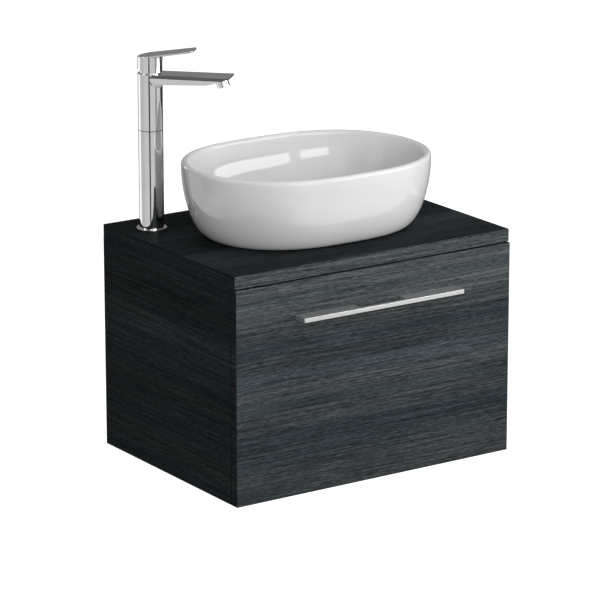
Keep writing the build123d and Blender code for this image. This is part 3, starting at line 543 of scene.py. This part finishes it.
# %% Basin floor
draw_in = 0.7
dish_centre = (basin_middle.x, basin_middle.y, basin_base + dish_height)
next_ring(bowl_floor, dish_height, draw_in, draw_in)
bpy.ops.transform.tosphere(value=1.0, center_override=dish_centre)
bpy.ops.object.mode_set(mode="OBJECT")
ring = [Vector(v.co[:2]) - basin_middle for v in basin.data.vertices if v.select]
ring_radius = sum(spoke.length for spoke in ring) / len(ring)
bpy.ops.object.mode_set(mode="EDIT")
scale_ring(dish_radius / ring_radius, dish_radius / ring_radius, dish_height)
for (old_radius, old_height), (radius, height) in zip(round_rings, round_rings[1:]):
    next_ring(old_height, height, radius / old_radius, radius / old_radius)
bpy.ops.mesh.select_all(action="DESELECT")
bpy.ops.mesh.select_non_manifold()
bpy.ops.mesh.bridge_edge_loops()
print("basin floor: round at", round(ring_radius, 4), "before it was scaled to", dish_radius)

# %% [markdown]
# ## Basin: smooth and in place
# One step of subdivision rounds what the rings leave. Smooth shading could be set for all faces, but by angle it
# leaves out edges that are still sharp. The mesh stands in for the CAD basin, which is hidden, and moves with the
# cabinet, which carries it.

# %% Basin finish
crisp_angle = 50
bpy.ops.mesh.select_all(action="SELECT")
bpy.ops.mesh.normals_make_consistent(inside=False)
bpy.ops.object.mode_set(mode="OBJECT")
smooth = basin.modifiers.new("smooth", "SUBSURF")
smooth.levels = smooth.render_levels = 1
bpy.ops.object.modifier_apply(modifier="smooth")
bpy.ops.object.shade_smooth_by_angle(angle=math.radians(crisp_angle))
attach(basin, "cabinet")
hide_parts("basin")
print("basin", len(basin.data.polygons), "faces")

# %% [markdown]
# ## Glaze
# Fired glaze is white china under clear glass. A coat over a matt white would do, but a Principled shader's own gloss
# is that already. A trace of cloud in the colour and in the gloss keeps it from looking like plastic.


# %% Glaze finish
def glaze():
    finish = Finish("white_glaze", Specular_IOR_Level=0.5)
    place = finish.place()
    cloud = finish.noise(place, 7.0)
    finish.feed("Base Color", finish.tones(cloud, (0.76, 0.76, 0.765), (0.80, 0.80, 0.80)))
    finish.feed("Roughness", finish.spread(finish.noise(place, 45.0), 0.02, 0.05))
    return finish


white_glaze = glaze()
white_glaze.on("basin")
basin.data.materials.append(white_glaze.material)

# %% [markdown]
# ## Floor and reflection cards
# The vanity hangs on a wall, so the floor is well below it. It is white to the camera and in reflections, and plain
# grey to all other rays, so that it doesn't flood the vanity with light. What the chrome and the glaze mirror is a ring
# of cards that only reflections see: chrome with nothing but white around it looks like paint, so most cards are grey
# or black. The first ones lie flat, above and below.


# %% Cards
def seen_directly(finish):
    """One for the rays that come from the camera, off a mirror or through glass."""
    rays = ("Is Camera Ray", "Is Glossy Ray", "Is Transmission Ray")
    camera_ray, glossy_ray, clear_ray = [finish.node("ShaderNodeLightPath", output=ray) for ray in rays]
    return camera_ray + glossy_ray + clear_ray


def stage_card(name, size, place, turn, grey, level, seen=False):
    """A card that shines at that level. Unless it is seen, only reflections show it."""
    bpy.ops.object.select_all(action="DESELECT")
    bpy.ops.mesh.primitive_plane_add(size=1.0)
    card = bpy.context.object
    card.name = name
    card.data.transform(Matrix.Translation(place) @ turn @ Matrix.Diagonal((*size, 1.0, 1.0)))
    finish = Finish(name, Roughness=0.9, Specular_IOR_Level=0.1, Emission_Strength=level)
    finish.shader.inputs["Base Color"].default_value = (grey, grey, grey, 1.0)
    finish.feed("Emission Color", seen_directly(finish))
    card.data.materials.append(finish.material)
    card.visible_camera = card.visible_diffuse = card.visible_shadow = seen


flat = Matrix.Identity(4)
floor_grey, card_grey = 0.5, 0.02
stage_card("floor", (30.0, 30.0), Vector((0.0, 0.0, -0.80)), flat, floor_grey, 1.0, True)
flat_cards = {
    "ceiling": ((3.0, 3.0), (-0.4, -0.4, 2.6), 0.17),
    "right_floor": ((2.0, 2.6), (1.2, 0.5, -0.79), 0.05),
    "left_floor": ((2.2, 2.6), (-1.5, -0.9, -0.79), 0.58),
}
for name, (size, place, level) in flat_cards.items():
    stage_card(name, size, Vector(place), flat, card_grey, level)
print("floor and", len(flat_cards), "flat cards")

# %% [markdown]
# ## The ring of cards
# An upright card is given by what it stands round, from where to where it reaches sideways and upwards, in degrees
# seen from there, and how bright it is. Azimuth 0 is in front and 90 to the right. Places in metres would do too, but a
# direction is what a mirror shows: a card is set from where a spot on the tap mirrors the room. The three bright cards
# are the two windows in the bowl and a strip of light on the glaze.

# %% Upright cards
tap_middle, basin_spot = (-0.245, -0.065), (0.0, -0.234)
card_distance, card_eye = 2.4, 0.22
upright_cards = {
    "left_back": (tap_middle, -215, -165, -40, 0, 0.40),
    "left_grey": (tap_middle, -135, -90, -40, -2, 0.54),
    "left_pale": (tap_middle, -90, -46, -40, -2, 0.62),
    "left_dim": (tap_middle, -80, -44, -1, 14, 0.10),
    "left_shade": (tap_middle, -80, -44, 14, 60, 0.17),
    "dark_strip": (tap_middle, -46, -33, -40, -2, 0.04),
    "front_grey": (tap_middle, -32, 12, -40, -2, 0.62),
    "front_shade": (tap_middle, 13, 31, -40, 4, 0.30),
    "front_glow": (tap_middle, 31, 41, -40, 4, 0.60),
    "right_pale": (tap_middle, 42, 70, -40, -2, 0.64),
    "right_dark": (tap_middle, 71, 150, -40, 4, 0.04),
    "right_high": (tap_middle, 71, 118, 4, 55, 0.06),
    "back_grey": (tap_middle, 120, 175, 6, 42, 0.20),
    "back_left": (tap_middle, 176, 264, 4, 66, 0.28),
    "left_window": (basin_spot, -22, 12, 6.5, 18, 6.4),
    "left_strip": (basin_spot, -107, -103, 6, 40, 5.0),
    "right_window": (basin_spot, 22, 66, 5.5, 20, 6.2),
}


def facing(azimuth):
    """Turns a flat card upright, so that it faces the middle from that azimuth."""
    return Matrix.Rotation(math.radians(azimuth), 4, "Z") @ Matrix.Rotation(math.radians(90), 4, "X")


def around(middle, azimuth, distance, height):
    a = math.radians(azimuth)
    return Vector((middle[0] + distance * math.sin(a), middle[1] - distance * math.cos(a), height))


for name, (middle, start, end, low, high, level) in upright_cards.items():
    width = 2 * card_distance * math.tan(math.radians(end - start) / 2)
    foot, head = [card_eye + card_distance * math.tan(math.radians(a)) for a in (low, high)]
    azimuth = (start + end) / 2
    place = around(middle, azimuth, card_distance, (foot + head) / 2)
    stage_card(name, (width, head - foot), place, facing(azimuth), card_grey, level)
print(len(upright_cards), "upright cards")

# %% [markdown]
# ## Lamps and sky
# A low, thin lamp to the right and a larger one in front light the front and the basin and leave the left end dark, as
# in the photo. The largest, high up, fills the bowl. They could also make the highlights, but then each change of light
# would move a highlight, so reflections don't see them. The sky is white to the camera and in reflections, and dim to
# all other rays.

# %% Lamps and sky
vanity_middle = (0.0, -0.2)
lamps = {
    "key_lamp": ((1.6, 0.3), (54, 1.8, 0.22), 0.14, 13.2),
    "front_lamp": ((1.6, 0.6), (-18, 2.6, 0.68), 0.14, 27.0),
    "high_lamp": ((1.6, 1.0), (30, 1.0, 2.1), 0.15, 16.0),
}
for name, (size, where, aim, power) in lamps.items():
    lamp = bpy.data.lights.new(name, "AREA")
    lamp.shape = "RECTANGLE"
    lamp.size, lamp.size_y = size
    lamp.energy = power
    holder = bpy.data.objects.new(name, lamp)
    bpy.context.scene.collection.objects.link(holder)
    holder.location = around(vanity_middle, *where)
    way = Vector((*vanity_middle, aim)) - holder.location
    holder.rotation_euler = way.to_track_quat("-Z", "Y").to_euler()
    holder.visible_camera = holder.visible_glossy = False
dim, white = 0.35, 1.0
sky = Finish("studio", bpy.data.worlds.new("studio"))
sky.feed("Color", sky.mix(seen_directly(sky), (dim, dim, dim, 1.0), (white, white, white, 1.0)))
bpy.context.scene.world = sky.material
print(len(lamps), "lamps and a sky")

# %% [markdown]
